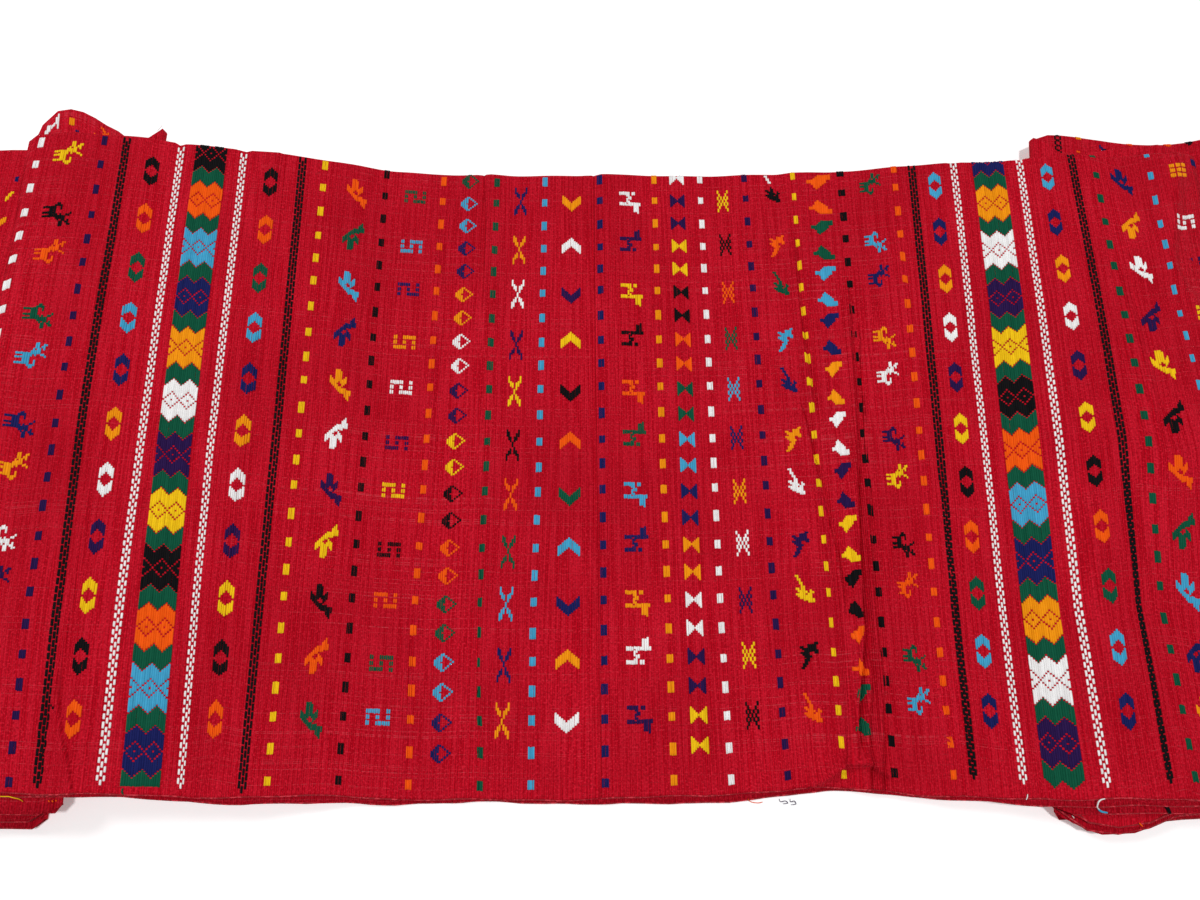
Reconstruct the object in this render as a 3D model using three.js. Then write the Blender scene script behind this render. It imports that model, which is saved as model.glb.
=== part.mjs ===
// A length of loom-woven brocaded cloth, doubled lengthwise so that both selvedges lie together at the
// front and the fold at the back. Its middle lies on the table, and both its ends are laid back and forth
// into low piles with the middle span running up onto them. The cloth is one piece, so it is one solid.
// +X runs along the length, +Y from the selvedges to the lengthwise fold, +Z up, all in millimetres.
// The origin is on the table, under the middle of the whole.
import * as THREE from 'three';

// Driving dimensions
const CLOTH = 1.2; // thickness of the ground weave with its inlaid pattern yarns
const AIR = 0.8; // space between the two halves of the doubled cloth
const FOLD_LINE = 220; // y of the lengthwise fold where the cloth lies straight
const SELVEDGE_LINE = -237; // y of both selvedges there
const PASS_RISE = 5.8; // from one doubled pass of a pile up to the next
const TURN_STEPS = 6; // facets round the turn from one pass to the next
const ACROSS_STEPS = 4; // facets across each half of the cloth
const EDGE_STEPS = 4; // facets round the lengthwise fold

const DOUBLED = 2 * CLOTH + AIR;
const LOWEST = DOUBLED / 2; // height of the doubled cloth's middle when it lies on the table

// Each row is one line across the cloth, in the order in which the cloth runs. x is where the line meets
// the lengthwise fold, and lean is how much further right it is at the selvedges. back and front are how
// far the fold and the selvedges lie beyond their straight lines, towards +Y. A turn takes the cloth to
// the next pass, and sag is how far both passes hang below their level there.
const LEFT_PILE = [
  { pass: 0, x: -472, lean: 0, back: 10, front: -13 }, // cut end, on the table
  { pass: 0, x: -410, lean: -8, back: 9, front: -14 },
  { pass: 0, x: -345, lean: -17, back: 12, front: -15, turn: true },
  { pass: 1, x: -410, lean: -10, back: 10, front: -12 },
  { pass: 1, x: -478, lean: 0, back: 6, front: -12, turn: true },
  { pass: 2, x: -410, lean: -8, back: 10, front: -10 },
  { pass: 2, x: -362, lean: -14, back: 18, front: -8 },
  { pass: 2, x: -337, lean: -14, back: 30, front: -8, turn: true }, // pointed corner behind the cloth
  { pass: 3, x: -362, lean: -12, back: 14, front: -8 },
  { pass: 3, x: -420, lean: -6, back: 8, front: -8 },
  { pass: 3, x: -470, lean: 0, back: 9, front: -7, turn: true },
  { pass: 4, x: -410, lean: 8, back: 12, front: -4 },
  { pass: 4, x: -357, lean: 20, back: 14, front: -3, turn: true },
  { pass: 5, x: -372, lean: 16, back: 25, front: -2 },
  { pass: 5, x: -390, lean: 8, back: 34, front: 0 }, // highest of the flap behind the cloth
  { pass: 5, x: -424, lean: -6, back: 33, front: 8, turn: true }, // crease at the end of the top span
];
const RIGHT_PILE = [
  { pass: 4, x: 447, lean: 6, back: 8, front: 0, sag: 3, turn: true },
  { pass: 3, x: 395, lean: -20, back: 6, front: -3 },
  { pass: 3, x: 332, lean: -49, back: 22, front: -4, turn: true },
  { pass: 2, x: 355, lean: -40, back: 25, front: -15.5 }, // bulge of the selvedges in front
  { pass: 2, x: 386, lean: -36, back: 21, front: -11 },
  { pass: 2, x: 420, lean: -28, back: 17, front: -6 },
  { pass: 2, x: 478, lean: -10, back: 25, front: -5, sag: 1.5, turn: true },
  { pass: 1, x: 410, lean: -30, back: 18, front: -8 },
  { pass: 1, x: 345, lean: -45, back: 16, front: -10, turn: true },
  { pass: 0, x: 410, lean: -20, back: 14, front: -8 },
  { pass: 0, x: 468, lean: 0, back: 14, front: -6 }, // cut end, on the table
];

// The span between the piles. lift is how far its underside stands off the table along the fold, and
// slant is how much further right the same height is met at the selvedges.
const SPAN = [
  { x: -400, lift: 34.8, slant: 0, back: 17, front: 8 },
  { x: -365, lift: 34.8, slant: 10, back: 10, front: 8 },
  { x: -335, lift: 34.0, slant: 18, back: 9, front: 8 },
  { x: -308, lift: 30.8, slant: 18, back: 6, front: 7 },
  { x: -270, lift: 25.2, slant: 16, back: 4, front: 5 },
  { x: -227, lift: 18.0, slant: 10, back: 2, front: 3 },
  { x: -190, lift: 9.5, slant: 6, back: 1, front: 2 },
  { x: -155, lift: 2.6, slant: 4, back: 0, front: 1 },
  { x: -128, lift: 1.1, slant: -6, back: 0, front: 0 }, // crease
  { x: -106, lift: 0, slant: -6, back: 0, front: 0 },
  { x: -84, lift: 0.9, slant: -3, back: 0, front: 0 }, // crease
  { x: -64, lift: 0, slant: 0, back: 0, front: 0 },
  { x: -18, lift: 0, slant: 2, back: 0, front: 0 },
  { x: 0, lift: 1.0, slant: 4, back: 0, front: 0 }, // crease down the middle
  { x: 18, lift: 0, slant: 4, back: 0, front: 0 },
  { x: 75, lift: 0, slant: 2, back: 0, front: 2 },
  { x: 112, lift: 0, slant: 12, back: 0, front: 4 },
  { x: 135, lift: 0.8, slant: 26, back: 0, front: 6 },
  { x: 150, lift: 4.2, slant: 34, back: 0, front: 7 }, // ridge, slanting to the right
  { x: 172, lift: 4.6, slant: 20, back: 0, front: 7.5 },
  { x: 190, lift: 7.2, slant: 5, back: 0, front: 6 }, // second ridge
  { x: 207, lift: 8.2, slant: -5, back: 0.5, front: 4 },
  { x: 230, lift: 11.4, slant: -20, back: 1, front: 3 },
  { x: 268, lift: 15.5, slant: -35, back: 1, front: 1.5 },
  { x: 303, lift: 18.8, slant: -45, back: 1, front: 0 },
  { x: 332, lift: 22.4, slant: -47, back: 2, front: -1 },
  { x: 360, lift: 23.2, slant: -30, back: 4, front: -2 },
  { x: 400, lift: 23.2, slant: -10, back: 6, front: -2 },
  { x: 428, lift: 22.2, slant: 0, back: 7, front: -1 },
];

// The value of one column of the span's table at any x, straight between its rows
function spanAt(x, column) {
  const last = SPAN.length - 1;
  const above = SPAN.findIndex((row) => row.x >= x);
  if (above === 0) return SPAN[0][column];
  if (above < 0) return SPAN[last][column];
  const [from, to] = [SPAN[above - 1], SPAN[above]];
  return THREE.MathUtils.mapLinear(x, from.x, to.x, from[column], to[column]);
}

// One line across the doubled cloth: where its middle is at each share of the way, 0 at the selvedges
// and 1 at the fold
function crossLine(row, middle) {
  return { back: FOLD_LINE + row.back, front: SELVEDGE_LINE + row.front, middle };
}

function spanLine(row) {
  return crossLine(row, (share) => {
    const metAt = row.x - spanAt(row.x, 'slant') * (1 - share);
    return [row.x, LOWEST + spanAt(metAt, 'lift')];
  });
}

// The lines of one row of a pile. At a turn they go half-way round a small circle to the pass above or
// below: side is +1 where the turn is at the right-hand end of the pass, and climb is +1 going up.
function pileLines(row, side, climb) {
  const level = LOWEST + row.pass * PASS_RISE - (row.sag ?? 0);
  const lines = [];
  const steps = row.turn ? TURN_STEPS : 0;
  for (let step = 0; step <= steps; step += 1) {
    const angle = (Math.PI * step) / TURN_STEPS;
    const radius = PASS_RISE / 2;
    const dx = row.turn ? side * radius * Math.sin(angle) : 0;
    const dz = row.turn ? climb * radius * (1 - Math.cos(angle)) : 0;
    lines.push(crossLine(row, (share) => [row.x + dx + row.lean * (1 - share), level + dz]));
  }
  return lines;
}

// Going up the left pile, an even pass runs to the right, and going down the right pile an odd one to
// the left
const lines = [
  ...LEFT_PILE.flatMap((row) => pileLines(row, row.pass % 2 ? -1 : 1, 1)),
  ...SPAN.map(spanLine),
  ...RIGHT_PILE.flatMap((row) => pileLines(row, row.pass % 2 ? -1 : 1, -1)),
];

// The section of the doubled cloth, from the upper selvedge back to the fold, round it, and forward to
// the lower selvedge. share is how far across, and off how far off the middle, in either direction.
function sectionPlaces(halfThickness) {
  const places = [];
  for (let i = 0; i <= ACROSS_STEPS; i += 1) {
    places.push({ share: i / ACROSS_STEPS, inset: i === ACROSS_STEPS ? DOUBLED / 2 : 0, off: halfThickness });
  }
  for (let i = 1; i < EDGE_STEPS; i += 1) {
    const angle = Math.PI * (0.5 - i / EDGE_STEPS);
    const inset = DOUBLED / 2 - halfThickness * Math.cos(angle);
    places.push({ share: 1, inset, off: halfThickness * Math.sin(angle) });
  }
  for (let i = ACROSS_STEPS; i >= 0; i -= 1) {
    places.push({ share: i / ACROSS_STEPS, inset: i === ACROSS_STEPS ? DOUBLED / 2 : 0, off: -halfThickness });
  }
  return places;
}

// The direction square to the cloth, on the left of the way it runs, seen from the front
function squareTo(index, share) {
  const before = lines[Math.max(index - 1, 0)].middle(share);
  const after = lines[Math.min(index + 1, lines.length - 1)].middle(share);
  const [dx, dz] = [after[0] - before[0], after[1] - before[1]];
  const length = Math.hypot(dx, dz);
  return [-dz / length, dx / length];
}

function pointAt(index, { share, inset, off }) {
  const { back, front, middle } = lines[index];
  const [x, z] = middle(share);
  const [outX, outZ] = squareTo(index, share);
  return [x + off * outX, THREE.MathUtils.lerp(front, back, share) - inset, z + off * outZ];
}

// The cloth's outer and inner faces are two sheets of the same lines, closed at both selvedges and at
// both cut ends
function clothGeometry() {
  const faces = [sectionPlaces(DOUBLED / 2), sectionPlaces(AIR / 2)];
  const width = faces[0].length;
  const points = faces.flatMap((places) =>
    lines.flatMap((_, index) => places.map((place) => pointAt(index, place))),
  );
  const corner = (face, index, place) => (face * lines.length + index) * width + place;
  const triangles = [];
  const quad = (a, b, c, d) => triangles.push(a, b, c, a, c, d);
  for (let i = 0; i + 1 < lines.length; i += 1) {
    for (let j = 0; j + 1 < width; j += 1) {
      quad(corner(0, i, j), corner(0, i + 1, j), corner(0, i + 1, j + 1), corner(0, i, j + 1));
      quad(corner(1, i, j), corner(1, i, j + 1), corner(1, i + 1, j + 1), corner(1, i + 1, j));
    }
    quad(corner(0, i, 0), corner(1, i, 0), corner(1, i + 1, 0), corner(0, i + 1, 0));
    const edge = width - 1;
    quad(corner(0, i, edge), corner(0, i + 1, edge), corner(1, i + 1, edge), corner(1, i, edge));
  }
  const end = lines.length - 1;
  for (let j = 0; j + 1 < width; j += 1) {
    quad(corner(0, 0, j), corner(0, 0, j + 1), corner(1, 0, j + 1), corner(1, 0, j));
    quad(corner(0, end, j), corner(1, end, j), corner(1, end, j + 1), corner(0, end, j + 1));
  }
  const geometry = new THREE.BufferGeometry();
  geometry.setAttribute('position', new THREE.Float32BufferAttribute(points.flat(), 3));
  geometry.setIndex(triangles);
  geometry.computeVertexNormals();
  return geometry;
}

const redCotton = new THREE.MeshStandardMaterial({ color: 0xb80f26, roughness: 0.9, metalness: 0 });
const cloth = new THREE.Mesh(clothGeometry(), redCotton);
cloth.name = 'cloth';

const huipilCloth = new THREE.Group();
huipilCloth.add(cloth);
export default huipilCloth;
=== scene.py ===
"""A length of red cotton cloth for huipil blouses, woven on a foot loom and brocaded with small animals,
birds and figures. It lies doubled lengthwise, with both its ends laid back and forth into low piles.
"""

import math
from collections import namedtuple

import bmesh
import bpy
import numpy as np
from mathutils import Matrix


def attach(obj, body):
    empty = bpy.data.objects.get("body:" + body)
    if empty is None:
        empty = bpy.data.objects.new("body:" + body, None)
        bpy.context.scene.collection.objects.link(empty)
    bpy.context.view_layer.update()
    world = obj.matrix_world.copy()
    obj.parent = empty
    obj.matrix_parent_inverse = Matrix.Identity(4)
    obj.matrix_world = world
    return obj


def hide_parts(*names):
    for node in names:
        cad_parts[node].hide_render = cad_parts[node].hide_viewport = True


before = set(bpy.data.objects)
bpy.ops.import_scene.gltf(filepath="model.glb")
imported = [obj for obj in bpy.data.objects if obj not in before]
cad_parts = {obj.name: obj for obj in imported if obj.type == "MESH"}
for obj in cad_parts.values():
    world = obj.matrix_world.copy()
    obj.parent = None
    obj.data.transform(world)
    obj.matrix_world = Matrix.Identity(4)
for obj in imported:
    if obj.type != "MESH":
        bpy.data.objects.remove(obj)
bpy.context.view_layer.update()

# ---- The table, the light and the camera -------------------------------------------------------------
# A plain white table, lit a little from within, under a small bright lamp almost straight above it and
# a larger, weaker one on the left. The camera stands over the front edge and looks down, slightly away.

MM = 0.001
TABLE_WHITE = (0.97, 0.97, 0.97, 1)
TABLE_DROP = 0.3 * MM  # so far under the cloth that their faces don't touch


def new_material(name):
    """A material with nodes, its node tree and its Principled shader"""
    material = bpy.data.materials.new(name)
    material.use_nodes = True
    return material, material.node_tree, material.node_tree.nodes["Principled BSDF"]


table_mesh = bmesh.new()
bmesh.ops.create_grid(table_mesh, x_segments=1, y_segments=1, size=4)
bmesh.ops.translate(table_mesh, verts=table_mesh.verts, vec=(0, 0, -TABLE_DROP))
table = bpy.data.objects.new("table", bpy.data.meshes.new("table"))
table_mesh.to_mesh(table.data)
table_mesh.free()
bpy.context.collection.objects.link(table)
table_paint, tree, shader = new_material("table_white")
shader.inputs["Base Color"].default_value = TABLE_WHITE
shader.inputs["Roughness"].default_value = 0.9
shader.inputs["Specular IOR Level"].default_value = 0.05
shader.inputs["Emission Color"].default_value = (1, 1, 1, 1)
shader.inputs["Emission Strength"].default_value = 0.2
table.data.materials.append(table_paint)

world = bpy.context.scene.world or bpy.data.worlds.new("studio")
bpy.context.scene.world = world
world.use_nodes = True
tree = world.node_tree
tree.nodes.clear()
ray = tree.nodes.new("ShaderNodeLightPath")
background = tree.nodes.new("ShaderNodeBackground")
backdrop = tree.nodes.new("ShaderNodeBackground")
choose = tree.nodes.new("ShaderNodeMixShader")
world_out = tree.nodes.new("ShaderNodeOutputWorld")
background.inputs["Color"].default_value = (1, 1, 1, 1)
background.inputs["Strength"].default_value = 0.3
backdrop.inputs["Color"].default_value = (1, 1, 1, 1)
backdrop.inputs["Strength"].default_value = 1
tree.links.new(ray.outputs["Is Camera Ray"], choose.inputs["Fac"])
tree.links.new(background.outputs[0], choose.inputs[1])
tree.links.new(backdrop.outputs[0], choose.inputs[2])
tree.links.new(choose.outputs[0], world_out.inputs["Surface"])

# Each lamp's name, place, size and power
LAMPS = (
    ("top_lamp", (0.4, 0, 2.6), 0.18, 34),
    ("left_lamp", (-1.55, 0.95, 2.2), 0.6, 21),
)
for name, place, size, power in LAMPS:
    lamp = bpy.data.lights.new(name, "AREA")
    lamp.size = size
    lamp.energy = power
    holder = bpy.data.objects.new(name, lamp)
    bpy.context.collection.objects.link(holder)
    holder.location = place
    holder.rotation_euler = holder.location.to_track_quat("Z", "Y").to_euler()

camera = bpy.data.objects.new("camera", bpy.data.cameras.new("camera"))
bpy.context.collection.objects.link(camera)
camera.location = (0, -0.160, 0.630)
camera.rotation_euler = (math.radians(14.3), 0, 0)
camera.data.lens = 27.03
camera.data.sensor_width = 36
bpy.context.scene.camera = camera
bpy.context.scene.view_settings.view_transform = "Standard"

# ---- The cloth -----------------------------------------------------------------------------------------
# One length of plain-woven red cotton, as wide as the loom, doubled so that both selvedges lie together
# at the front. The middle lies on the table, and both ends are laid back and forth into low piles, in
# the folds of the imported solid.

WEAVE = 0.7  # thickness of the ground weave, in millimetres like all that follows
HALF_WIDTH = 457  # from the fold to a selvedge
HALF_THICK = 1.6  # half the thickness of the doubled cloth
FOLD_LINE, SELVEDGE_LINE = 220, -237  # y of the lengthwise fold and the selvedges where they lie straight
PASS_RISE = 5.8  # from one pass of a pile up to the next
TURN = PASS_RISE / 2  # radius of the turn between them
TURN_STEPS = 10
FRONT_CORNER = 6  # how much a turn's corner is rounded off at the front

# A place on the cloth is s, which runs along it as x does where it isn't piled, and t, down from the
# lengthwise fold and positive in the half that is on top in the middle. A row is one line across a
# pile: x at the fold, how much further right it is at the selvedges, how far the fold and selvedges lie
# beyond their straight lines and how far it sags. Where the cloth turns to the next level, turn is how
# much its back corner is rounded off.
Row = namedtuple("Row", "level x lean back front sag turn", defaults=(0, 0))
LEFT_PILE = (
    Row(0, -472, 0, 10, -13),
    Row(0, -410, -8, 9, -14),
    Row(0, -345, -19, 12, -15, turn=1),
    Row(1, -410, -10, 10, -12),
    Row(1, -478, 0, 6, -12, turn=1),
    Row(2, -410, -8, 10, -10),
    Row(2, -362, -14, 15, -8),
    Row(2, -350, -14, 20.5, -8),
    Row(2, -342, -18, 26.5, -8),
    Row(2, -339, -19, 32, -8, turn=2),
    Row(3, -342, -18, 25, -8),
    Row(3, -350, -15, 20, -8),
    Row(3, -362, -12, 12, -8),
    Row(3, -420, -6, 8, -8),
    Row(3, -470, 0, 6, -7, turn=1),
    Row(4, -410, 8, 8, -4),
    Row(4, -357, 16, 14, -3, turn=1),
    Row(5, -361, 14, 18, -3),
    Row(5, -375, 12, 26, -2),
    Row(5, -390, 8, 35.5, 0),
    Row(5, -405, 2, 38.5, 3),
    Row(5, -414, -2, 35, 5),
    Row(5, -420, -4, 28, 7),
    Row(5, -422, -6, 13, 8, turn=7),
)
RIGHT_PILE = (
    Row(4, 447, 6, 8, 0, 3, turn=1),
    Row(3, 430, -12, 15.5, -2),
    Row(3, 392, -24, 12, -3),
    Row(3, 365, -35, 8, -3),
    Row(3, 350, -38, 10, -4),
    Row(3, 335, -42.5, 23, -4, turn=1),
    Row(2, 341, -38.5, 27, -9),
    Row(2, 348, -35, 28, -14),
    Row(2, 357, -36, 27.5, -16),
    Row(2, 376, -34, 24, -15.5),
    Row(2, 392, -34, 22, -9),
    Row(2, 405, -34, 21, -6),
    Row(2, 430, -28, 19.5, -5.5),
    Row(2, 478, -10, 28, -5, 1.5, turn=1),
    Row(1, 410, -30, 18, -8),
    Row(1, 345, -45, 16, -10, turn=1),
    Row(0, 410, -20, 14, -8),
    Row(0, 468, 0, 14, -6),
)
# The span between the piles: how far its underside is lifted off the table along the fold, and how much
# further right the same height is met at the selvedges
Span = namedtuple("Span", "x lift slant back front")
SPAN = (
    Span(-412, 34.8, 0, 14, 8),
    Span(-396, 34.8, 0, 15, 8),
    Span(-365, 34.8, 10, 12.8, 8),
    Span(-335, 34.0, 18, 10, 8),
    Span(-308, 30.8, 18, 8, 7),
    Span(-270, 25.2, 16, 7, 5),
    Span(-227, 18.0, 10, 5, 3),
    Span(-190, 9.5, 6, 4, 2),
    Span(-155, 2.6, 4, 2, 1),
    Span(-128, 1.1, -6, 0, 0),
    Span(-106, 0, -6, 0, 0),
    Span(-84, 0.9, -3, 0, 0),
    Span(-64, 0, 0, 0, 0),
    Span(-18, 0, 2, 0, 0),
    Span(0, 1.0, 4, 0, 0),
    Span(18, 0, 4, 0, 0),
    Span(75, 0, 2, 0, 2),
    Span(112, 0, 12, 0, 4),
    Span(135, 0.8, 26, 0, 6),
    Span(150, 4.2, 34, 0, 7),
    Span(172, 4.6, 20, 0, 7.5),
    Span(190, 7.2, 5, 0, 6),
    Span(207, 8.2, -5, 0.5, 4),
    Span(230, 11.4, -20, 1, 3),
    Span(268, 15.5, -35, 1, 2),
    Span(303, 18.8, -45, 1, 2),
    Span(332, 22.4, -47, 2, 2),
    Span(355, 23.2, -34, 3, 1.5),
    Span(388, 23.2, -16, 0.7, 1.5),
    Span(410, 23.1, -6, 3.6, 1),
    Span(428, 22.2, 0, 5.4, 1.5),
)


def eased(at, stations, values):
    """Values at any places between the stations, on smooth curves that never swing past them"""
    stations = np.asarray(stations, float)
    values = np.asarray(values, float).reshape(len(stations), -1)
    at = np.clip(at, stations[0], stations[-1])
    gap = np.diff(stations)[:, None]
    rise = np.diff(values, axis=0) / gap
    before, after = rise[:-1], rise[1:]
    slope = np.zeros_like(values)
    level = np.where(before * after > 0, before + after, np.inf)
    slope[1:-1] = 2 * before * after / level
    i = np.clip(np.searchsorted(stations, at, side="right") - 1, 0, len(stations) - 2)
    u = (at - stations[i])[:, None] / gap[i]
    return (
        (1 + 2 * u) * (1 - u) ** 2 * values[i]
        + u * (1 - u) ** 2 * gap[i] * slope[i]
        + (3 - 2 * u) * u**2 * values[i + 1]
        + (u - 1) * u**2 * gap[i] * slope[i + 1]
    )


def pile_lines(rows, climb):
    """x, height, lean, back and front of each line across a pile, half circles at its turns included"""
    lines = []
    for row in rows:
        side = -1 if row.level % 2 else 1
        for step in range(TURN_STEPS + 1 if row.turn else 1):
            angle = math.pi * step / TURN_STEPS
            x = row.x + side * TURN * math.sin(angle)
            z = HALF_THICK + row.level * PASS_RISE - row.sag + climb * TURN * (1 - math.cos(angle))
            back = row.back - row.turn * math.sin(angle)
            front = row.front + FRONT_CORNER * math.sin(angle)
            lines.append((x, z, row.lean, back, front))
    return np.array(lines)


SPAN_STEP = 4.0
span_x = np.arange(SPAN[0].x, SPAN[-1].x + 1, SPAN_STEP)
span_rows = np.array(SPAN)
span_slant, span_back, span_front = eased(span_x, span_rows[:, 0], span_rows[:, 2:]).T
left_lines, right_lines = pile_lines(LEFT_PILE, 1), pile_lines(RIGHT_PILE, -1)


def run_from(start, lines):
    """How far along the cloth each of these lines is, the first one being at start"""
    return start + np.concatenate([[0], np.cumsum(np.hypot(*np.diff(lines[:, :2], axis=0).T))])


left_start, right_start = left_lines[-1, 0], right_lines[0, 0]
line_s = np.concatenate(
    [-run_from(-left_start, left_lines[::-1])[::-1], span_x, run_from(right_start, right_lines)]
)
SHARES = np.linspace(0, 1, 33)  # 0 at the selvedges and 1 at the fold
short = 1 - SHARES[None, :]
met_at = span_x[:, None] - span_slant[:, None] * short
span_height = eased(met_at.ravel(), span_rows[:, 0], span_rows[:, 1]).reshape(met_at.shape)
line_x = np.vstack(
    [
        left_lines[:, 0:1] + left_lines[:, 2:3] * short,
        np.repeat(span_x[:, None], len(SHARES), 1),
        right_lines[:, 0:1] + right_lines[:, 2:3] * short,
    ]
)
line_z = np.vstack(
    [
        np.repeat(left_lines[:, 1:2], len(SHARES), 1),
        HALF_THICK + span_height,
        np.repeat(right_lines[:, 1:2], len(SHARES), 1),
    ]
)
line_ends = np.vstack(
    [left_lines[:, 3:], np.column_stack([span_back, span_front]), right_lines[:, 3:]]
)

# The middle of the doubled cloth, every millimetre along it
fine_s = np.arange(line_s[0], line_s[-1], 1.0)
middle_x, middle_z = eased(fine_s, line_s, line_x), eased(fine_s, line_s, line_z)
middle_ends = eased(fine_s, line_s, line_ends)


def between(grid, rows, columns, at_row, at_column):
    """The grid's values at any places between its rows and columns"""
    i = np.clip(np.searchsorted(rows, at_row, side="right") - 1, 0, len(rows) - 2)
    j = np.clip(np.searchsorted(columns, at_column, side="right") - 1, 0, len(columns) - 2)
    u = (at_row - rows[i]) / (rows[i + 1] - rows[i])
    v = (at_column - columns[j]) / (columns[j + 1] - columns[j])
    if grid.ndim == 3:
        u, v = u[..., None], v[..., None]
    low = grid[i, j] * (1 - v) + grid[i, j + 1] * v
    high = grid[i + 1, j] * (1 - v) + grid[i + 1, j + 1] * v
    return low * (1 - u) + high * u


# The creases of the upper half in the middle. A crease is a groove with the cloth standing higher or
# lower to its left and to its right, easing away over the two widths. It has taken in some cloth, and
# shows between two depths only, though its path goes on. A path is t and s by turns.
Crease = namedtuple("Crease", "groove left left_width right right_width taken shown path")
CREASES = (
    Crease(
        1.0, 1.9, 5, -1.2, 3, 1.0, (378, 480),
        ((0, -345), (392, -344), (410, -341), (425, -337), (437, -332), (447, -329.5), (457, -327)),
    ),
    Crease(1.5, -1.8, 5, 1.6, 6, 0, (-20, 112), ((0, -90), (50, -88), (110, -88), (457, -92))),
    Crease(
        0.8, -0.9, 4, 1.4, 5, 0, (112, 480),
        ((0, -83), (115, -84), (180, -83), (340, -82), (457, -79)),
    ),
    Crease(1.5, -2.8, 7, 1.4, 6, 0, (-20, 480), ((0, -5), (115, -4), (230, -2.5), (350, -1), (457, 0.5))),
    Crease(
        2.1, 4.6, 6, -2.8, 4, 0.6, (185, 345),
        ((0, 140), (113, 141.5), (177, 144.7), (208, 149.4), (261, 158.8), (302, 165), (333, 167.5),
         (349, 168), (390, 165.5), (410, 163.3), (457, 161.5)),
    ),
    Crease(
        2.0, 3.8, 6, -2.6, 4, 0.6, (50, 205),
        ((0, 148), (50, 148.7), (113, 150), (164, 153.4), (207, 157.8), (261, 163.5), (302, 169.5),
         (349, 172.5), (390, 169.8), (410, 167.5), (457, 166)),
    ),
    Crease(
        2.4, 5.8, 6, -3.4, 5, 1.2, (95, 440),
        ((0, 186), (100, 185.5), (208, 184.5), (252, 182), (302, 180), (348, 179), (370, 177), (390, 174),
         (410, 171.5), (457, 170)),
    ),
    Crease(
        2.4, 5.2, 4, -3.2, 5, 1.0, (365, 480),
        ((0, 190), (208, 188.6), (252, 186.1), (302, 184.1), (348, 183.2), (365, 182.5), (400, 180),
         (420, 177.5), (457, 176)),
    ),
    Crease(
        1.6, 4, 4, -3, 6, 0.8, (240, 480),
        ((0, 194.5), (240, 190.5), (290, 188.5), (345, 188), (385, 190), (410, 188), (430, 187),
         (457, 184)),
    ),
)
# Soft folds have no groove, or hardly one, and are given in the same way
SOFT_FOLDS = (
    Crease(0, 2.4, 9, -1.6, 4, 0, (50, 480), ((0, -119), (160, -119), (300, -124), (457, -130))),
    Crease(0.8, 3.6, 6, -2.8, 4, 0, (290, 480), ((300, 202.5), (380, 219), (457, 232))),
    Crease(0.8, -2.4, 8, -2.0, 5, 0, (130, 480), ((0, 281), (300, 280), (457, 282))),
    Crease(0, 1.0, 12, -0.8, 9, 0, (-20, 480), ((0, -330), (200, -338), (457, -345))),
    Crease(0, 1.8, 14, -1.3, 8, 0, (-20, 480), ((0, -240), (230, -246), (457, -252))),
    Crease(0, 1.7, 9, -1.5, 8, 0, (60, 480), ((0, 225), (230, 235), (457, 246))),
    Crease(0, 1.5, 9, -1.4, 8, 0, (60, 480), ((0, 60), (230, 64), (457, 72))),
    Crease(0, 1.5, 10, -1.2, 8, 0, (200, 480), ((0, 108), (230, 112), (457, 124))),
    Crease(0, 2.6, 9, -2.4, 6, 0, (90, 210), ((0, 382), (100, 383), (200, 392), (457, 400))),
    Crease(0.3, 0.9, 4, -0.8, 4, 0, (400, 480), ((0, -353), (425, -350), (440, -345), (457, -341))),
)
CREASE_FADE = 14  # how far from the ends of its shown part a crease dies away
GROOVE_WIDTH, STEP_WIDTH = 0.7, 0.4
# Puckers run along the cloth: how high they stand, how far they reach behind and before them, and
# their line, s and t by turns
Pucker = namedtuple("Pucker", "rise behind before line")
PUCKERS = (
    Pucker(10, 7, 2.2, ((135, 456), (146, 452), (162, 442), (174, 439), (186, 446))),
    Pucker(1.6, 4, 1.5, ((-349, 434), (-342, 431), (-336, 430))),
    Pucker(1.6, 4, 1.5, ((-333, 427), (-326, 427), (-318, 428))),
)
# Over the right pile the cloth rises a little up to its shoulder, t and s by turns, and falls away
# beyond it, but only this far from the fold
SHOULDER = ((0, 437), (40, 429), (90, 418), (125, 433), (180, 445), (457, 450))
SHOULDER_RISE, SHOULDER_REACH, SHOULDER_FALL, SHOULDER_DEPTH = 3, 10, 0.7, 165
LOWEST = -4.5  # no deeper than this anywhere


def faded(crease, t):
    """How much of a crease there is at this depth, from 0 to 1"""
    begins = np.clip((t - crease.shown[0]) / CREASE_FADE, 0, 1)
    return begins * np.clip((crease.shown[1] - t) / CREASE_FADE, 0, 1)


def on_path(path, t):
    """The place along the cloth where a path is at each depth"""
    depths, places = np.array(path, float).T
    return eased(np.ravel(t), depths, places).reshape(np.shape(t))


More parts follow.
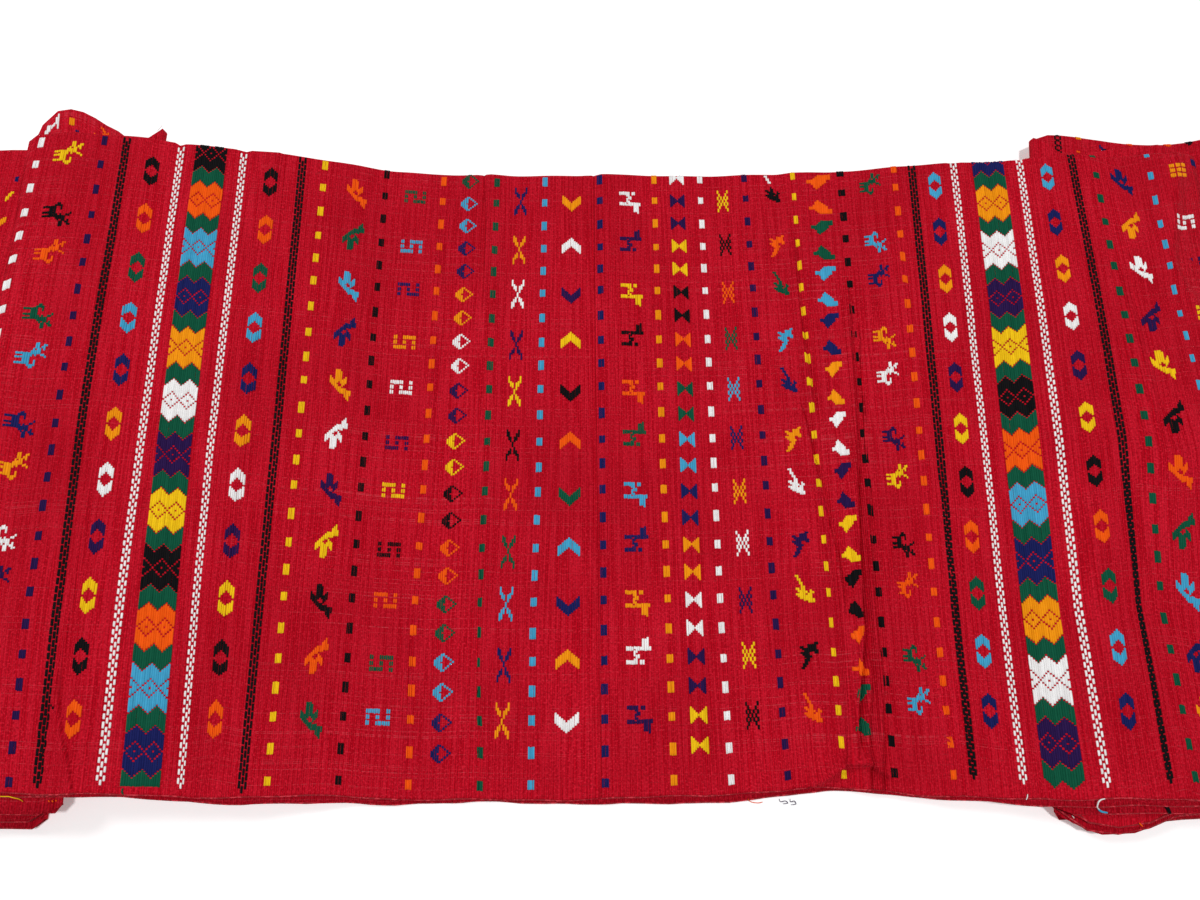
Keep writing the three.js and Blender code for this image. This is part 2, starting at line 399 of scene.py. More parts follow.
def relief(s, t):
    """How far the upper half stands off its straight lie"""
    total = np.zeros(np.broadcast(s, t).shape)
    for crease in CREASES + SOFT_FOLDS:
        off = s - on_path(crease.path, t)
        left = crease.left * np.exp(np.minimum(off, 0) / crease.left_width)
        right = crease.right * np.exp(-np.maximum(off, 0) / crease.right_width)
        groove = crease.groove * np.exp(-((off / GROOVE_WIDTH) ** 2))
        step = 0.5 + 0.5 * np.tanh(off / STEP_WIDTH)
        total += (left * (1 - step) + right * step - groove) * faded(crease, t)
    for pucker in PUCKERS:
        places, depths = np.array(pucker.line, float).T
        fade = (places[-1] - places[0]) / 4
        begins = np.clip((s - places[0]) / fade + 0.3, 0, 1)
        inside = begins * np.clip((places[-1] - s) / fade + 0.6, 0, 1)
        below = t - np.interp(s, places, depths)
        reach = np.where(below < 0, pucker.behind, pucker.before)
        total += pucker.rise * inside * np.exp(-np.abs(below) / reach)
    beyond = s - on_path(SHOULDER, t)
    rising = SHOULDER_RISE * np.exp(np.minimum(beyond, 0) / SHOULDER_REACH)
    slope = np.maximum(np.where(beyond < 0, rising, SHOULDER_RISE - SHOULDER_FALL * beyond), -4)
    total += slope * np.clip((SHOULDER_DEPTH - t) / 45, 0, 1) * np.clip((s - 385) / 25, 0, 1)
    return np.maximum(total, LOWEST)


def uneven(s, t):
    """Slow rises and dips of less than a millimetre, all over the cloth"""
    return 0.36 * (
        np.sin(s / 23 + t / 90 + 1.3)
        + 0.8 * np.sin(s / 13.5 - t / 47)
        + 0.7 * np.sin(t / 31 + s / 60 + 2.1)
        + 0.5 * np.sin(t / 12.5 - s / 35)
    )


# The lines of the mesh across the cloth are closer where it turns or is creased, and beside a crease
# they follow it
PLAIN_STEP, PILED_STEP, TURN_STEP, CREASED_STEP = 3.9, 9.5, 1.7, 2.3
STEEP = 0.45  # a rise for each millimetre along the cloth that only turns have
spacing = np.where((fine_s > left_start) & (fine_s < right_start), PLAIN_STEP, PILED_STEP)
turning = np.abs(np.diff(middle_z[:, -1], append=middle_z[-1, -1])) > STEEP
spacing[turning] = TURN_STEP
for begins, ends in ((130, 205), (415, 447)):
    spacing[(fine_s > begins) & (fine_s < ends)] = CREASED_STEP
spacing = np.convolve(np.pad(spacing, 3, mode="edge"), np.ones(7) / 7, mode="valid")
passed = np.concatenate([[0], np.cumsum(1 / spacing)[:-1]])
along = np.interp(np.linspace(0, passed[-1], int(passed[-1]) + 1), passed, fine_s)
CREASE_LINES = (-345, -89, -83, -3, 148, 156, 178, 184, 190)  # where each is on the straight grid
BESIDE = np.array([-1.8, -1.1, -0.5, 0, 0.5, 1.1, 1.8])
CLEAR_OF_CREASE = 2.3  # how near to a crease no other line comes
FOLLOWING = 1.9  # how far to each side of a crease the lines follow it
STRAIGHT = (-1200, -400, -300, -130, -60, -30, 30, 110, 230, 1200)  # lines that follow no crease
for place in CREASE_LINES:
    along = along[np.abs(along - place) > CLEAR_OF_CREASE]
along = np.sort(np.concatenate([along] + [place + BESIDE for place in CREASE_LINES]))
depths = np.arange(0, HALF_WIDTH + 1.0)
moved = {place: np.zeros(len(depths)) for place in STRAIGHT}
for place, crease in zip(CREASE_LINES, CREASES):
    for side in (-FOLLOWING, FOLLOWING):
        moved[place + side] = on_path(crease.path, depths) - place
moved = dict(sorted(moved.items()))
moved_places, moved_by = np.array(list(moved), float), np.array(list(moved.values()))


def bent(line, t):
    """How far from its straight place a line of the mesh lies at this depth"""
    near = between(moved_by, moved_places, depths, line, np.maximum(t, 0.0))
    return near * np.clip(1 + t / 60, 0, 1)


QUARTER = math.pi / 2 * HALF_THICK  # of cloth, from the top of the lengthwise fold to its edge
FOLD_STEPS = 3
# The mesh's places down the cloth are closest near the front, where the corners and puckers are
across = np.concatenate(
    [
        np.linspace(-HALF_WIDTH, -QUARTER, 18),
        np.linspace(-QUARTER, QUARTER, 2 * FOLD_STEPS + 1)[1:-1],
        np.linspace(QUARTER, 380, 38),
        np.linspace(380, 428, 14)[1:],
        np.linspace(428, HALF_WIDTH, 18)[1:],
    ]
)

# Where the middle of the doubled cloth is at each corner of the mesh, and which way is ahead there
line_grid, t_grid = np.meshgrid(along, across, indexing="ij")
s_grid = line_grid + bent(line_grid, t_grid)
depth = np.abs(t_grid)
share = np.clip(1 - (depth - QUARTER) / (HALF_WIDTH - QUARTER), 0, 1)
REACH = 0.7  # to both sides, for the way ahead
middle, ahead = [], []
for places in (middle_x, middle_z):
    middle.append(between(places, fine_s, SHARES, s_grid, share))
    after = between(places, fine_s, SHARES, s_grid + REACH, share)
    ahead.append(after - between(places, fine_s, SHARES, s_grid - REACH, share))
distance = np.hypot(*ahead)
back, front = (np.interp(s_grid, fine_s, middle_ends[:, k]) for k in (0, 1))
PEEK = 1.6  # how far the two selvedges show past each other
edge = SELVEDGE_LINE + front - np.where(t_grid < 0, 1, -1) * PEEK * (1 + 0.5 * np.sin(s_grid / 41))
edge = edge + 0.6 * np.sin(s_grid / 17) + 0.35 * np.sin(s_grid / 7.3 + np.sign(t_grid))
fold = FOLD_LINE + back - HALF_THICK + 0.5 * np.sin(s_grid / 19 + 1) + 0.35 * np.sin(s_grid / 8.1)
# The fold is drawn in a little by the tight white chains, and at two creases
DRAWN_IN = {-313: 2.2, -268: 2, 269: 1, 317: 1.2, -4: 1.2, -90: 1}
for place, deep in DRAWN_IN.items():
    fold = fold - deep * np.exp(-(((s_grid - place) / 2.5) ** 2))
# The two halves stand off the middle on both sides, and meet round the fold
turned = (1 - np.minimum(depth, QUARTER) / QUARTER) * math.pi / 2
on_span = np.clip((s_grid - left_start) / 20, 0, 1) * np.clip((right_start - s_grid) / 20, 0, 1)
soft = np.clip(depth / 25, 0.25, 1)
out = HALF_THICK + soft * uneven(s_grid, t_grid) * np.where(on_span * (t_grid < 0) > 0, 0, 1)
out = out + np.where(t_grid > 0, relief(s_grid, t_grid) * on_span * np.clip(t_grid / 8, 0.3, 1), 0)
off = np.sign(t_grid) * out * np.cos(turned)
face = np.stack(
    [
        middle[0] - off * ahead[1] / distance,
        edge + (fold - edge) * share + np.exp(-depth / 6) + out * np.sin(turned),
        middle[1] + off * ahead[0] / distance,
    ],
    axis=-1,
)
# The pile is pressed down and spreads a little at its far right corner
PRESSED_DOWN, SPREADING = 0.65, 1 / 600
shoulder_x = np.interp(FOLD_LINE - face[..., 1], *np.array(SHOULDER).T)
pressed = np.clip((face[..., 0] - shoulder_x) / 26, 0, 1)
pressed = PRESSED_DOWN * pressed**0.8 * np.clip((face[..., 1] - 50) / 50, 0, 1)
spread = 1 + pressed * face[..., 2] * SPREADING
face = face * np.stack([spread, spread, 1 - pressed], axis=-1)
ON_TABLE = 0.02  # the lowest that the outer face lies
face[..., 2] = np.maximum(face[..., 2], ON_TABLE)
outward = np.cross(np.gradient(face, across, axis=1), np.gradient(face, along, axis=0))
outward /= np.linalg.norm(outward, axis=2, keepdims=True)

# The weft isn't quite straight: how far each pick lies to the right of its place at the fold, one row
# for each place along the cloth, at these depths from the fold
DRIFT_DEPTHS = (0, 115, 230, 340, 457)
DRIFT = {
    -440: (0, -8, -9, -7, -3),
    -414: (0, -7, -8, -6, -2),
    -394: (0, -3, -3.2, -3, 0),
    -368: (0, -3, -4.5, -3.5, 2),
    -351: (0, -1.5, -2.2, 0, 3.8),
    -331: (0, -1.5, -2.2, -3.6, -2.5),
    -313: (0, -0.7, -1, -0.8, 1.2),
    -291: (0, -0.8, -1.4, 1.4, 4.4),
    -268: (0, 0, -0.4, 1.5, 5),
    -247: (0, -1, -2, -1.5, -0.5),
    -226: (0, -0.3, -0.5, -1, -1.5),
    -210: (0, -1.5, -2.5, -2.8, -3),
    -186: (0, -1, -2, -3.5, -4.6),
    -165: (0, -2, -3.5, -5, -5.6),
    -142: (0, -2, -4, -5.5, -6.7),
    -122: (0, -2, -3.9, -6.5, -4.4),
    -101: (0, -2, -3.7, -5.5, -5),
    -80: (0, -0.8, -1.3, -3.5, -2.8),
    -61: (0, -1, -2, -4, -5),
    -42: (0, -0.6, -1.2, -3.5, -2.8),
    -22: (0, 0.2, 0.4, 0, -0.9),
    -1: (0, 1, 2.2, 3.2, 4.4),
    23: (0, 1, 1.9, 2.6, 3.2),
    42: (0, 1.5, 3.1, 5, 7.1),
    59: (0, 1.8, 3.7, 5.3, 7.2),
    78: (0, 1.9, 3.8, 5.4, 9.2),
    95: (0, 2.4, 4.3, 6, 8.5),
    112: (0, 3.6, 5.6, 7.6, 11.9),
    133: (0, 4.2, 7, 6.7, 10),
    149: (0, 2.6, 5.6, 9.8, 11.2),
    168: (0, 0.7, 3.5, 5.2, 7.2),
    185: (0, 1.6, 3.4, 5.9, 7),
    207: (0, 1.5, 2.4, 3, 4.8),
    225: (0, 0.9, 0.7, 0.7, 2.4),
    238: (0, 0.6, 0.6, 0, 1.6),
    254: (0, 0.7, 0.4, 0, 0),
    269: (0, 0.3, 0.3, 0, 1.3),
    294: (0, 1, -1, -2, -1.2),
    317: (0, 1.2, 1.5, -0.4, 3.4),
    335: (0, 3.7, 5, 5, 4.7),
    355: (0, 5.4, 7.3, 1.6, 6.8),
    371: (0, 4.3, 9.2, 0.3, 6.8),
    389: (1, 7.5, 14, 1, 3),
    413: (-1.5, 1, 12, 2, 3),
    434: (0, 0, 8, 0, 0),
}
# The rows of figures aren't quite level either: how much nearer the fold or further from it they lie
SLIP_DEPTHS = (-60, 0, 60, 115, 170, 230, 290, 340, 400, 457)
SLIP = {
    -414: (0, 0, 0, 0, 0, 0, 0, 0, 0, 0),
    -394: (0, 0, 1, 2, 3, 4.5, 5, 2, 0, 0),
    -368: (0, 0, 0.6, 1.1, 1.4, 1.5, 1.4, 1, 0.3, 0),
    -350: (0, 2.6, 2.2, 1.8, 1.6, 1.5, 1.4, 1, 0.3, 0),
    -262: (0, 2.4, 2, 1.6, 1.5, 1.5, 1.4, 1, 0.3, 0),
    -247: (0, 1.2, 1.6, 1.4, 0.6, -0.2, -1, -1.8, -3, -2.5),
    -225: (0, 1.2, 1.3, 1.4, 1.5, 1.6, 1.7, 1.8, 1.9, 2),
    160: (0, 1.2, 1.3, 1.4, 1.5, 1.6, 1.7, 1.8, 1.9, 2),
    180: (0, 0, 0, 0, 0, 0, -0.4, -0.8, -0.6, -0.4),
    228: (0, 0, 0, 0, 0, 0, -0.6, -1, -1.6, -2.6),
    254: (0, 0.6, 0.6, 0.7, 0.8, 0.8, 0.9, 0.9, 0.4, 0.4),
    294: (0, 0, 0.1, 0.1, -1.1, -0.2, 0.3, 1.4, 2.6, 3.5),
    335: (0, -0.6, -2.4, -3.8, -5, -4.6, -4.6, -2.1, 1, 4.6),
    371: (0, -3.5, -6.1, -7.8, -9.9, -11.7, -8.1, -5.1, -4, -3.5),
    390: (0, 1.5, -4.1, -7.3, -9.9, -10.2, -7.6, -4.1, -2, 4.6),
    413: (0, -2.5, -2.6, -6.8, -11.9, -11.7, -7.1, -3.6, -1, 4.6),
    434: (0, -4, -6.6, -9.7, -11.3, -10.5, -7.6, -3.8, -1, 3),
    448: (0, -6, -9.6, -12.7, -14.3, -13.5, -10.1, -5.8, -2.4, 3),
    470: (0, 0, 0, 0, 0, 0, 0, 0, 0, 0),
}


def strayed(s, t, table, depths):
    """What the drift or the slip table says for these places"""
    places = np.array(list(table), float)
    values = np.array(list(table.values()), float)
    inside = np.clip(s, places[0], places[-1])
    return between(values, places, np.array(depths, float), inside, np.clip(t, depths[0], depths[-1]))


TAKEN_NEAR = 8  # how far to each side the cloth has moved toward a crease that took some in


def lie(s, t, rise):
    """Where a yarn lies that was woven in at s and t and stands off the cloth's face by rise"""
    drifted = s + strayed(s, np.abs(t), DRIFT, DRIFT_DEPTHS)
    slipped = t + strayed(s, t, SLIP, SLIP_DEPTHS)
    for crease in CREASES:
        if crease.taken:
            off = drifted - on_path(crease.path, slipped)
            away = np.abs(off)
            half = np.maximum(crease.taken / 2 * faded(crease, slipped), 1e-4)
            wall = np.minimum(half, 0.35)
            outside = wall + (TAKEN_NEAR - wall) * (away - half) / (TAKEN_NEAR - half)
            nearer = np.where(away < half, wall * away / half, np.where(away < TAKEN_NEAR, outside, away))
            drifted = drifted + np.sign(off) * (nearer - away)
    line = drifted
    for _ in range(4):
        line = drifted - bent(line, slipped)
    place = between(face, along, across, line, slipped)
    normal = between(outward, along, across, line, slipped)
    return place + normal * rise[..., None]


cloth_grid = bmesh.new()
bmesh.ops.create_grid(cloth_grid, x_segments=len(along) - 1, y_segments=len(across) - 1, size=0.5)
cloth = bpy.data.objects.new("red_cloth", bpy.data.meshes.new("red_cloth"))
bmesh.ops.reverse_faces(cloth_grid, faces=cloth_grid.faces)
cloth_grid.to_mesh(cloth.data)
cloth_grid.free()
bpy.context.collection.objects.link(cloth)

corners = np.empty(len(cloth.data.vertices) * 3)
cloth.data.vertices.foreach_get("co", corners)
corners = corners.reshape(-1, 3)
line_of = np.rint((corners[:, 0] + 0.5) * (len(along) - 1)).astype(int)
column_of = np.rint((corners[:, 1] + 0.5) * (len(across) - 1)).astype(int)
cloth.data.vertices.foreach_set("co", (face[line_of, column_of] * MM).ravel())

woven_s = s_grid - strayed(s_grid, np.abs(t_grid), DRIFT, DRIFT_DEPTHS)
woven_t = t_grid - strayed(s_grid, t_grid, SLIP, SLIP_DEPTHS)
run, fall = along[-1] - along[0], 2 * HALF_WIDTH
woven = np.stack([(woven_s - along[0]) / run, woven_t / fall + 0.5], axis=-1)
loops = np.empty(len(cloth.data.loops), int)
cloth.data.loops.foreach_get("vertex_index", loops)
woven_map = cloth.data.uv_layers.new(name="OFBake")
woven_map.data.foreach_set("uv", woven[line_of[loops], column_of[loops]].ravel())
cloth.data.polygons.foreach_set("use_smooth", np.ones(len(cloth.data.polygons), bool))
cloth.data.update()
thickness = cloth.modifiers.new("weave", "SOLIDIFY")
thickness.thickness = WEAVE * MM
thickness.offset = -1

RED_DARK, RED, RED_LIGHT = (0.26, 0.0008, 0.006, 1), (0.57, 0.0015, 0.013, 1), (0.8, 0.018, 0.045, 1)
SLUB = (0.85, 0.16, 0.2, 1)
RIB = 1.37  # from one pick to the next
cotton, tree, shader = new_material("red_ribbed_cotton")
nodes, links = tree.nodes, tree.links
shader.inputs["Roughness"].default_value = 0.9
shader.inputs["Specular IOR Level"].default_value = 0.06
uv = nodes.new("ShaderNodeUVMap")
uv.uv_map = "OFBake"


def stretched(scale_s, scale_t):
    """Places on the cloth, in units of so many millimetres along it and across it"""
    mapping = nodes.new("ShaderNodeMapping")
    mapping.inputs["Scale"].default_value = (run / scale_s, fall / scale_t, 1)
    links.new(uv.outputs["UV"], mapping.inputs["Vector"])
    return mapping.outputs["Vector"]


def noise(scale_s, scale_t, detail, low, high):
    """A blotchy pattern of that size, from 0 to 1 between the two levels"""
    texture = nodes.new("ShaderNodeTexNoise")
    texture.inputs["Scale"].default_value = 1
    texture.inputs["Detail"].default_value = detail
    links.new(stretched(scale_s, scale_t), texture.inputs["Vector"])
    limit = nodes.new("ShaderNodeMapRange")
    limit.inputs["From Min"].default_value = low
    limit.inputs["From Max"].default_value = high
    links.new(texture.outputs["Fac"], limit.inputs["Value"])
    return limit.outputs["Result"]


def mixed(first, second, share, much):
    """The first colour with that share of the second"""
    mix = nodes.new("ShaderNodeMix")
    mix.data_type = "RGBA"
    part = nodes.new("ShaderNodeMath")
    part.operation = "MULTIPLY"
    part.inputs[1].default_value = much
    links.new(share, part.inputs[0])
    links.new(part.outputs[0], mix.inputs["Factor"])
    for colour, socket in ((first, mix.inputs["A"]), (second, mix.inputs["B"])):
        if isinstance(colour, tuple):
            socket.default_value = colour
        else:
            links.new(colour, socket)
    return mix.outputs["Result"]


ribs = nodes.new("ShaderNodeTexWave")
ribs.inputs["Scale"].default_value = math.pi / 10
ribs.inputs["Distortion"].default_value = 0.6
ribs.inputs["Detail Scale"].default_value = 0.2
links.new(stretched(RIB, RIB), ribs.inputs["Vector"])
pairs = nodes.new("ShaderNodeTexWave")
pairs.inputs["Scale"].default_value = math.pi / 20
pairs.inputs["Distortion"].default_value = 1.2
pairs.inputs["Detail Scale"].default_value = 0.15
links.new(stretched(RIB, RIB), pairs.inputs["Vector"])
colour = mixed(RED, RED_DARK, ribs.outputs["Fac"], 0.7)
colour = mixed(colour, RED_DARK, pairs.outputs["Fac"], 0.3)
colour = mixed(colour, RED_LIGHT, noise(RIB * 1.15, 60, 1, 0.4, 0.62), 0.35)
colour = mixed(colour, RED_DARK, noise(1.2, 1.6, 1, 0.5, 0.66), 0.6)
colour = mixed(colour, RED_LIGHT, noise(1.3, 1.3, 1, 0.55, 0.7), 0.6)
# A few thicker, paler warp yarns show as dotted lines along the cloth
slubs = nodes.new("ShaderNodeMath")
slubs.operation = "MULTIPLY"
links.new(noise(300, 0.5, 0, 0.68, 0.78), slubs.inputs[0])
links.new(noise(2.2, 30, 1, 0.4, 0.6), slubs.inputs[1])
colour = mixed(colour, SLUB, slubs.outputs[0], 0.28)
colour = mixed(colour, RED_DARK, noise(70, 110, 3, 0.4, 0.7), 0.25)
links.new(colour, shader.inputs["Base Color"])
ridges = nodes.new("ShaderNodeBump")
ridges.inputs["Strength"].default_value = 0.8
ridges.inputs["Distance"].default_value = 0.3 * MM
links.new(ribs.outputs["Fac"], ridges.inputs["Height"])
links.new(ridges.outputs["Normal"], shader.inputs["Normal"])
cloth.data.materials.append(cotton)
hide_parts("cloth")
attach(cloth, "root")

# ---- Squares -------------------------------------------------------------------------------------------
# Lines of small squares down the cloth, each line in one colour: four short floats side by side, and
# the squares by turns a little longer and a little shorter.

# The figures are brocade: loose cotton yarns laid in by hand with the weft, so that each is a row of
# short floats side by side, one to a pick. A float comes up out of the ground, crosses it and goes
# down again. Nine colours follow each other in a fixed order, from figure to figure and row to row.
YARNS = {
    "black": (0.0035, 0.003, 0.004),
    "orange": (1.0, 0.105, 0.002),
    "green": (0.002, 0.09, 0.045),
    "light_blue": (0.06, 0.38, 0.62),
    "navy": (0.008, 0.012, 0.105),
    "amber": (1.0, 0.32, 0.003),
    "white": (1.0, 0.95, 0.94),
    "purple": (0.022, 0.005, 0.068),
    "yellow": (0.98, 0.57, 0.006),
}
COLOURS = list(YARNS)
PICK, UNIT = 1.37, 1.28  # from one float to the next, and one step of a figure's chart down the cloth
FLOAT_WIDTH, FLOAT_RISE = 1.48, 0.5
SUNK = 0.12  # the share of its rise that a float keeps at its ends, and that it goes into the cloth
DIVE = 0.35  # length over which a float comes up
LONGEST_STEP = 2.6
SHORTEST = 0.5  # floats shorter than this are left out
SIDES = 6
WANDER = 0.12  # the floats' ends aren't quite in line
rng = np.random.default_rng(11)


def yarn_material(name):
    """Soft loose cotton, whose colour varies a little along a float and from one float to the next"""
    material, tree, shader = new_material(name + "_yarn")
    nodes, links = tree.nodes, tree.links
    base = np.array(YARNS[name])
    mix = nodes.new("ShaderNodeMix")
    mix.data_type = "RGBA"
    mix.inputs["A"].default_value = (*(base * 0.72), 1)
    mix.inputs["B"].default_value = (*np.minimum(base * 1.12 + 0.004, 1), 1)
    places = nodes.new("ShaderNodeTexCoord")
    fibres = nodes.new("ShaderNodeTexNoise")
    fibres.inputs["Scale"].default_value = 450
    links.new(places.outputs["Object"], fibres.inputs["Vector"])
    shade = nodes.new("ShaderNodeAttribute")
    shade.attribute_name = "shade"
    both = nodes.new("ShaderNodeMath")
    both.operation = "MULTIPLY_ADD"
    both.inputs[1].default_value = 0.6
    links.new(fibres.outputs["Fac"], both.inputs[0])
    links.new(shade.outputs["Fac"], both.inputs[2])
    links.new(both.outputs[0], mix.inputs["Factor"])
    links.new(mix.outputs["Result"], shader.inputs["Base Color"])
    shader.inputs["Roughness"].default_value = 0.8
    shader.inputs["Specular IOR Level"].default_value = 0.08
    return material


def tube(steps):
    """A closed six-sided tube: where each corner is round it and along it, and its faces"""
    mesh = bmesh.new()
    bmesh.ops.create_cone(mesh, cap_ends=True, segments=SIDES, radius1=1, radius2=1, depth=1)
    lengthwise = [e for e in mesh.edges if abs(e.verts[0].co.z - e.verts[1].co.z) > 0.5]
    bmesh.ops.subdivide_edges(mesh, edges=lengthwise, cuts=steps - 1, use_grid_fill=False)
    mesh.verts.ensure_lookup_table()
    corners = np.array([v.co for v in mesh.verts])
    faces = [[v.index for v in f.verts] for f in mesh.faces]
    mesh.free()
    turn = np.round((np.arctan2(corners[:, 1], corners[:, 0]) / (2 * math.pi)) % 1, 4)
    station = np.rint((corners[:, 2] + 0.5) * steps).astype(int)
    return turn, station, faces


def unrolled(turns):
    """How far round a tube a face's corners are, with no jump where the round closes"""
    if turns.max() - turns.min() > 0.6:
        return np.where(turns < 0.4, turns + 1, turns)
    return turns


def joined(name, places, faces, paint_numbers, tiles, paints):
    """Joins tubes into one piece that lies on the cloth, and gives it its materials"""
    mesh = bpy.data.meshes.new(name)
    mesh.from_pydata(np.vstack(places) * MM, [], faces)
    mesh.polygons.foreach_set("material_index", paint_numbers)
    mesh.polygons.foreach_set("use_smooth", np.ones(len(faces), bool))
    mesh.uv_layers.new(name="OFBake").data.foreach_set("uv", np.vstack(tiles).ravel())
    mesh.update()
    for paint in paints:
        mesh.materials.append(paint)
    piece = bpy.data.objects.new(name, mesh)
    bpy.context.collection.objects.link(piece)
    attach(piece, "root")
    return piece


def lay_in(name, floats, width=FLOAT_WIDTH):
    """Joins pattern floats into one piece. Each row of floats is s, start, end and its yarn's number."""
    floats = np.vstack(floats).astype(float)
    floats = floats[floats[:, 2] - floats[:, 1] > SHORTEST]
    count = len(floats)
    floats[:, 0] += rng.normal(0, 0.04, count)
    floats[:, 1:3] += rng.normal(0, WANDER, (count, 2))
    bow = rng.normal(0, 0.06, count)
    shades = rng.uniform(0, 0.45, count)
    used = sorted({int(y) for y in floats[:, 3]})
    steps = np.maximum(3, np.ceil((floats[:, 2] - floats[:, 1]) / LONGEST_STEP).astype(int) + 2)
    places, faces, colours, shade, tiles = [], [], [], [], []
    tile_rows = math.ceil(math.sqrt(count))
    done, met = 0, 0
    for number in np.unique(steps):
        chosen = floats[steps == number]
        turn, station, shape = tube(number)
        length = (chosen[:, 2] - chosen[:, 1])[:, None]
        inner = DIVE + (length - 2 * DIVE) * (station - 1) / (number - 2)
        down = np.where(station == 0, 0, np.where(station == number, length, inner))
        raised = np.where((station == 0) | (station == number), SUNK, 1.0)
        angle = 2 * math.pi * turn
        aside = np.cos(angle) * width / 2 * (0.72 + 0.28 * raised)
        height = np.where(np.sin(angle) < -0.1, -SUNK, np.sin(angle) * 1.15 * raised) * FLOAT_RISE
        lean = bow[steps == number][:, None] * np.sin(math.pi * down / length)
        s = chosen[:, 0:1] + aside + lean
        t = chosen[:, 1:2] + down
        places.append(lie(s, t, np.broadcast_to(height, s.shape)).reshape(-1, 3))
        corner_count = len(turn)
        for k in range(len(chosen)):
            start = done + k * corner_count
            faces += [[start + c for c in f[::-1]] for f in shape]
        colours.append(np.repeat([used.index(int(y)) for y in chosen[:, 3]], len(shape)))
        shade.append(np.repeat(shades[steps == number], corner_count))
        # Each float has a tile of the map to itself
        round_it, along_it = [], []
        for f in shape:
            round_it += list(unrolled(turn[f[::-1]]))
            along_it += list(station[f[::-1]] / number)
        tile = met + np.arange(len(chosen))
        origin = np.stack([tile % tile_rows, tile // tile_rows], axis=-1)[:, None, :]
        inside = 0.12 + 0.76 * np.stack([round_it, along_it], axis=-1)[None]
        tiles.append(((origin + inside) / tile_rows).reshape(-1, 2))
        done += corner_count * len(chosen)
        met += len(chosen)
    paints = [
        bpy.data.materials.get(COLOURS[number] + "_yarn") or yarn_material(COLOURS[number])
        for number in used
    ]
    piece = joined(name, places, faces, np.concatenate(colours), tiles, paints)
    varied = piece.data.attributes.new("shade", "FLOAT", "POINT")
    varied.data.foreach_set("value", np.concatenate(shade))


def floats_at(figure, s, t, yarn, flip=False):
    """A figure's floats, each a row of place along, start and end, put at s and t in one yarn"""
    figure = np.asarray(figure, float)
    start, end = (-figure[:, 2], -figure[:, 1]) if flip else (figure[:, 1], figure[:, 2])
    number = COLOURS.index(yarn) if isinstance(yarn, str) else yarn % len(COLOURS)
    return np.column_stack([s + figure[:, 0], t + start, t + end, np.full(len(figure), number)])


# Each line's place and yarn, where its first and last squares are at the fold and the selvedge, and how
# far its middle is drawn toward the fold
Squares = namedtuple("Squares", "s yarn first last sag")
SQUARES = (
    Squares(-414, "white", 8, 449, 5.5),
    Squares(-368, "purple", 5.8, 449.8, -1.5),
    Squares(-210, "yellow", 4.5, 445.4, 0),
    Squares(-165, "black", 3.3, 445.4, 1.6),
    Squares(-121, "orange", 5.3, 445.4, 4),
    Squares(-79.7, "green", 6.7, 446.2, 3.5),
    Squares(-42.5, "light_blue", 5.4, 445.4, 3.1),
    Squares(-0.4, "navy", 4.6, 445.4, 3.6),
    Squares(41.9, "amber", 3, 445.4, 3.2),
    Squares(77.5, "white", 2.6, 445.4, 3.3),
    Squares(112, "purple", 2.4, 445.4, 3.3),
    Squares(149.4, "yellow", 2.5, 445.4, 3.3),
    Squares(185.2, "black", 0.8, 445.4, 1.8),
    Squares(225.3, "orange", 0.6, 445.4, 1.7),
    Squares(371, "green", 3, 445.4, 0),
    Squares(413.4, "light_blue", 3, 445.4, 0),
)
SQUARES_IN_LINE = 24
SQUARE_STEPS = (0, -0.9, 0, 0.5)  # the rows of figures between them aren't all as deep
SQUARE_PICK, LONG_HALF, SHORT_HALF = 1.03, 3.7, 3.05
squares = []
for line in SQUARES:
    for n in range(SQUARES_IN_LINE):
        down = n / (SQUARES_IN_LINE - 1)
        t = line.first + (line.last - line.first) * down - line.sag * math.sin(math.pi * down)
        t += SQUARE_STEPS[n % 4] + rng.normal(0, 0.25)
        half = (SHORT_HALF if n % 2 else LONG_HALF) + rng.normal(0, 0.18)
        figure = [((k - 1.5) * SQUARE_PICK, -half, half) for k in range(4)]
        squares.append(floats_at(figure, line.s, max(t, half - 1.5), line.yarn))
lay_in("squares", squares, width=1.12)

# ---- Chains --------------------------------------------------------------------------------------------
# A white chain on each side of both wide bands and a black one further out: three lines of short
# floats, the middle one half a link behind the others.

LINK = 5.3
# Where they are, and how much they narrow over some links past their middle
BLACK_CHAINS = {-351.6: 0, -226.1: 0, 238.4: 0.35, 354.7: 0.75}
WHITE_CHAINS = {-312.2: 0, -268: 0, 269: 0, 316.9: 0}
for name, yarn, places, broad, dash, width in (
    ("black_chains", "black", BLACK_CHAINS, 2.0, 4.6, 1.8),
    ("white_chains", "white", WHITE_CHAINS, 1.75, 3.6, 1.45),
):
    chain = []
    for s, narrowed in places.items():
        for n in range(85 if s < 0 else 84):
            apart = broad - narrowed * min(max((n - 45) / 12, 0), 1)
            link = [(-apart, 0, dash), (0, LINK / 2, LINK / 2 + dash), (apart, 0, dash)]
            chain.append(floats_at(link, s, 0.8 + LINK * n, yarn))
    lay_in(name, chain, width=width)

# ---- Eyes ----------------------------------------------------------------------------------------------
# Six-cornered figures with a red eye in the middle, beside both wide bands: seven picks, each with two
# floats whose ends step to a point.

IN_LINE = 11  # figures in a line


def eye(pick, tall):
    """The floats of one eye, from its middle"""
    floats = []
    for k in range(-3, 4):
        slant = 1.05 * abs(k)
        top, low = (slant - 9.8) * tall * UNIT, (slant - 4.0) * tall * UNIT
        if abs(k) == 3:
            low = -0.55 * UNIT
        floats += [(k * pick, top, low), (k * pick, -low, -top)]
    return floats


